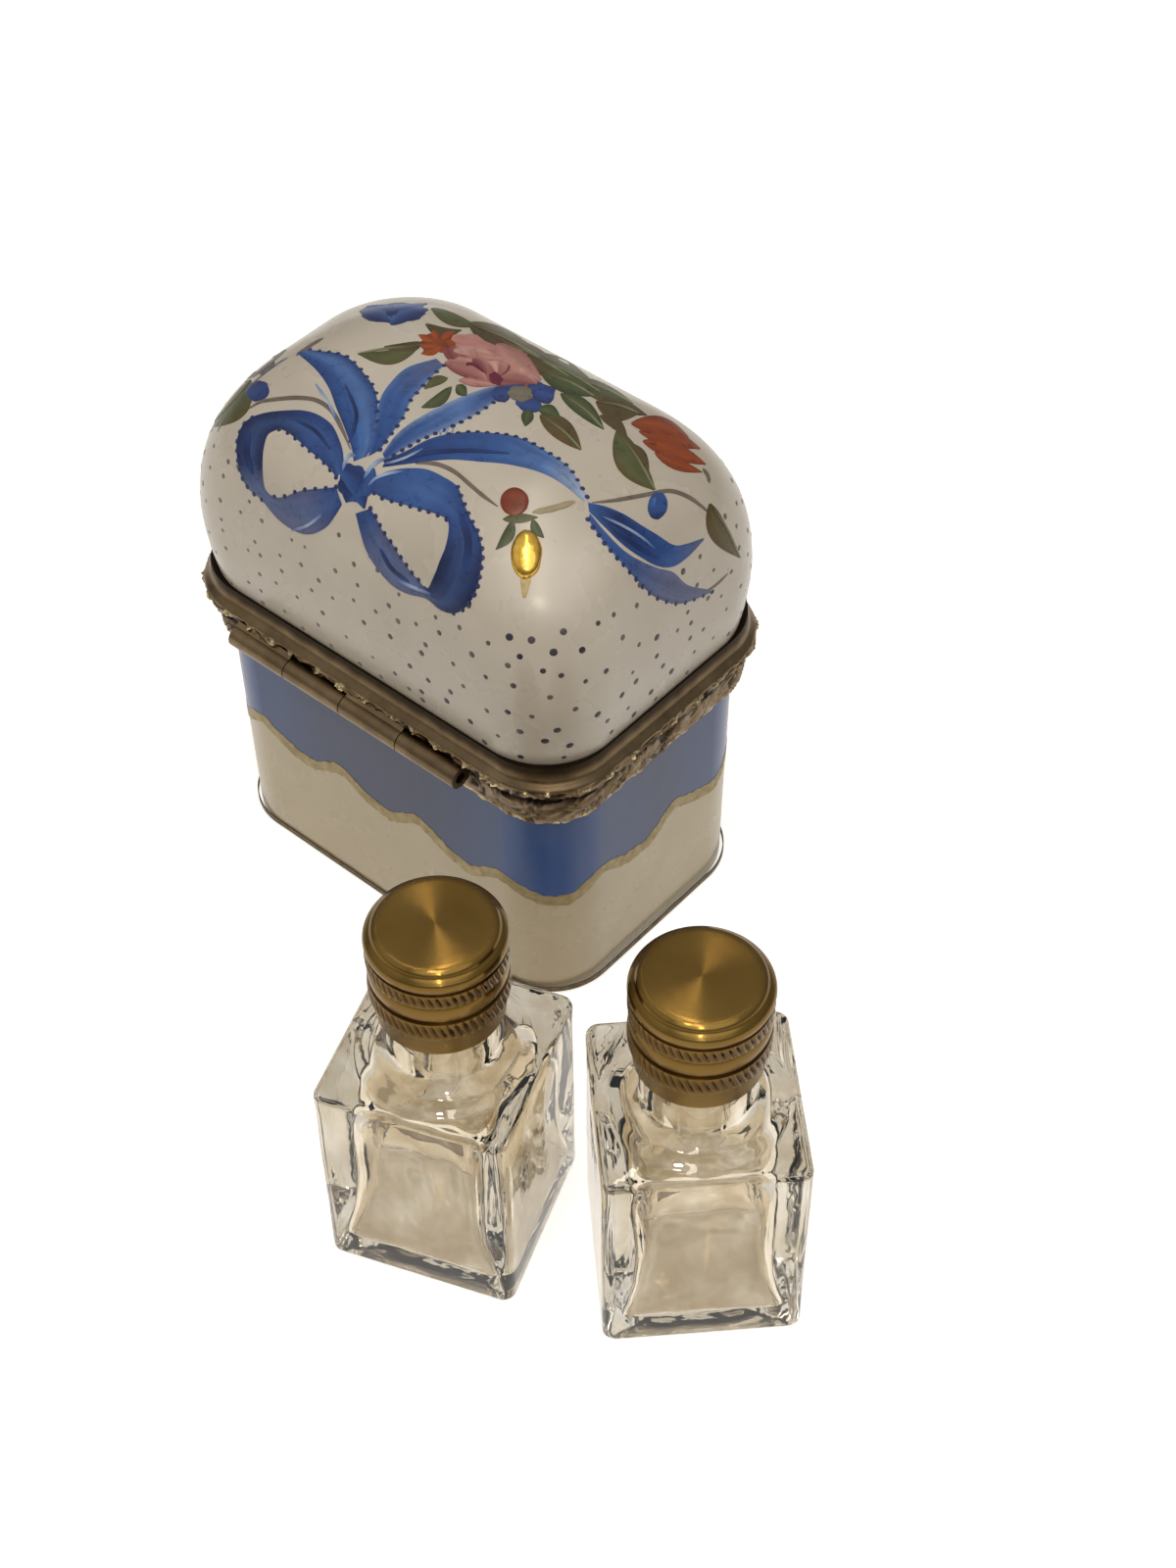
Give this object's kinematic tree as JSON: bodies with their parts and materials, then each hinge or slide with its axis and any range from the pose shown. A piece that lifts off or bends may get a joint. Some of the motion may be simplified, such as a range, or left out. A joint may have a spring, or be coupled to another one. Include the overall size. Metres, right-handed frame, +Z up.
{
  "type": "perfume box with bottles",
  "caption": "Domed porcelain perfume box with a hinged lid in brass mounts, and square glass bottles with knurled screw caps standing beside it.",
  "frame": {"origin": "centre of the box's foot, on the surface it stands on", "axes": "+X along the box, +Y towards the hinge, -Y towards the clasp, +Z up"},
  "size_m": [0.096, 0.0743, 0.0619],
  "materials": {
    "base_porcelain": "glossy glaze with a blue band and a gilt line",
    "lid_porcelain": "glossy glaze with hand-painted enamel",
    "mount_brass": "aged, chased and softly polished",
    "bottle_glass": "clear moulded",
    "cap_brass": "turned and knurled",
    "insert_plastic": "moulded",
    "seal_foam": "pressed foam"
  },
  "bodies": {
    "base": {"base_porcelain": "base_porcelain", "base_mount": "mount_brass", "base_knuckle_near": "mount_brass", "base_knuckle_far": "mount_brass", "hinge_pin": "mount_brass", "clasp_stud": "mount_brass"},
    "lid": {"lid_porcelain": "lid_porcelain", "lid_mount": "mount_brass", "lid_knuckle_near": "mount_brass", "lid_knuckle_far": "mount_brass", "clasp_tongue": "mount_brass", "clasp_thumb_piece": "mount_brass"},
    "left_bottle": {"left_bottle_glass": "bottle_glass"},
    "left_seal": {"left_cap_seal": "seal_foam"},
    "left_cap": {"left_cap_shell": "cap_brass", "left_cap_insert": "insert_plastic"},
    "right_bottle": {"right_bottle_glass": "bottle_glass"},
    "right_seal": {"right_cap_seal": "seal_foam"},
    "right_cap": {"right_cap_shell": "cap_brass", "right_cap_insert": "insert_plastic"}
  },
  "joints": [
    {"name": "lid_hinge", "type": "hinge", "parent": "base", "child": "lid", "pos_m": [0.0011, 0.0191, 0.0326], "axis": [-1, 0, 0], "range_deg": [0, 96]},
    {"name": "left_bottle_slide", "type": "slide", "parent": "base", "child": "left_bottle", "axis": [0, 1, 0], "range_m": [0, 0.03]},
    {"name": "left_cap_rise", "type": "slide", "parent": "left_bottle", "child": "left_seal", "axis": [0, 0, 1], "range_m": [0, 0.00901]},
    {"name": "left_cap_turn", "type": "hinge", "parent": "left_seal", "child": "left_cap", "pos_m": [-0.0331, 0.0414, 0.0419], "axis": [0, 0, 1], "range_deg": [0, 1620]},
    {"name": "right_bottle_slide", "type": "slide", "parent": "base", "child": "right_bottle", "axis": [-1, 0, 0], "range_m": [0, 0.03]},
    {"name": "right_cap_rise", "type": "slide", "parent": "right_bottle", "child": "right_seal", "axis": [0, 0, 1], "range_m": [0, 0.00901]},
    {"name": "right_cap_turn", "type": "hinge", "parent": "right_seal", "child": "right_cap", "pos_m": [-0.0552, 0.0305, 0.0419], "axis": [0, 0, 1], "range_deg": [0, 1620]}
  ],
  "couplings": [
    {"joint": "left_cap_rise", "follows": "left_cap_turn", "m_per_rad": 0.0003183},
    {"joint": "right_cap_rise", "follows": "right_cap_turn", "m_per_rad": 0.0003183}
  ]
}
